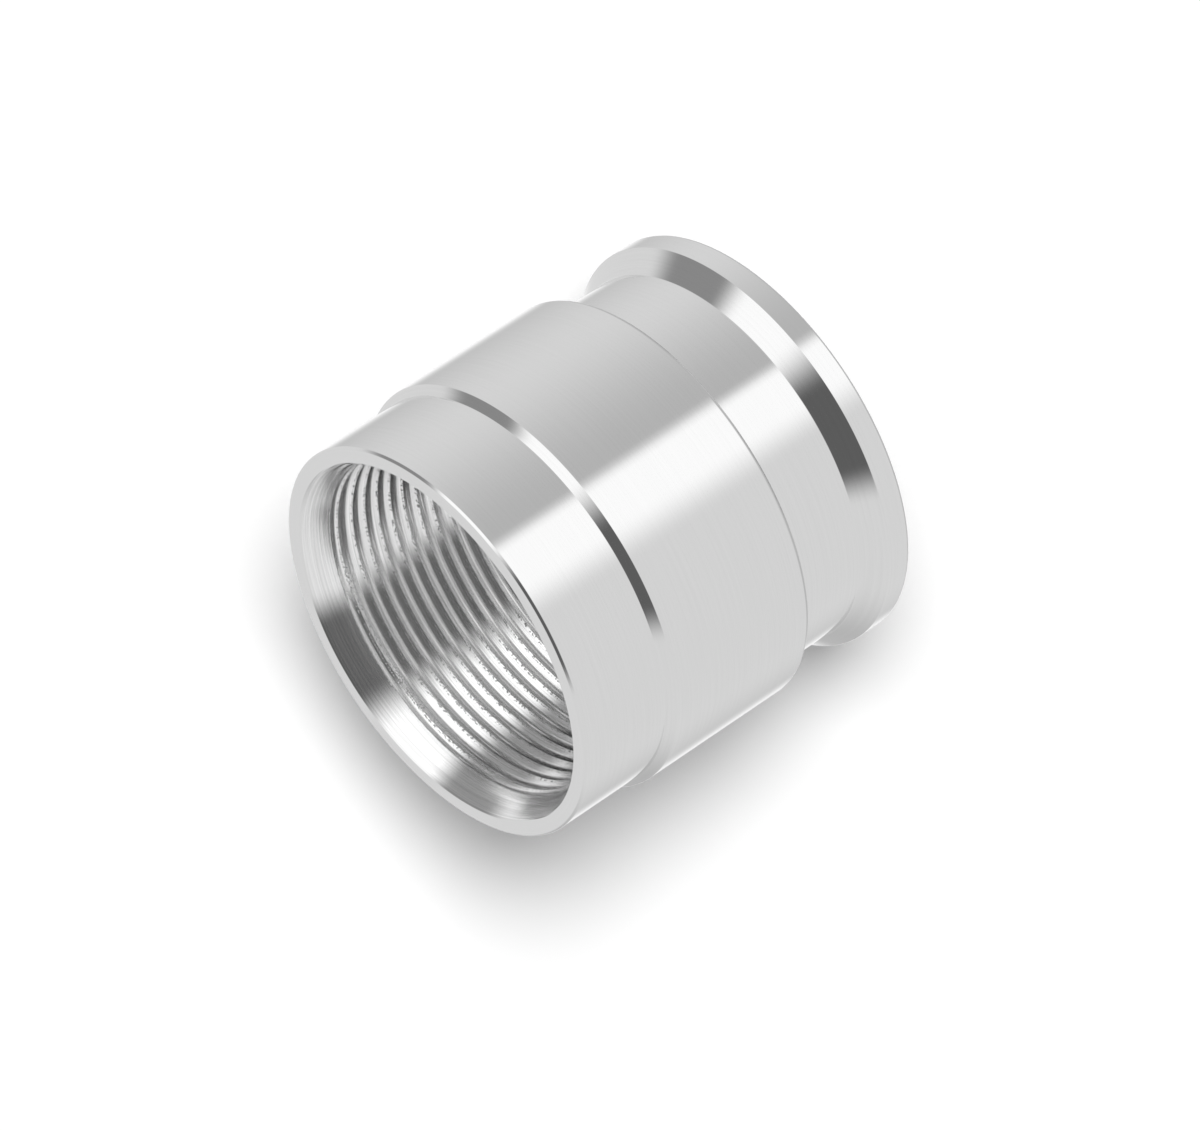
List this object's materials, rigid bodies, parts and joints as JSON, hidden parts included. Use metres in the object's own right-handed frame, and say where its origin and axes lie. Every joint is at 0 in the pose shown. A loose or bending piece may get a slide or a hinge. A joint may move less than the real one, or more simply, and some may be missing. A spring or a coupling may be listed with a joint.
{
  "type": "crimp collar",
  "caption": "Turned stainless steel crimp collar for a sanitary hose: stepped sleeve with a flange, a smooth lead-in and ring serrations in the bore.",
  "frame": {"origin": "centre of the flange's end face, on which the collar stands", "axes": "+Z along the collar's axis, from the flange to the mouth where the hose goes in; X and Y are any two square directions, as the part is round"},
  "size_m": [0.044, 0.044, 0.0413],
  "materials": {
    "steel": "polished turned stainless steel, mirror-like outside, with fine turning lines in the bore"
  },
  "bodies": {
    "root": {"collar": "steel"}
  },
  "joints": []
}
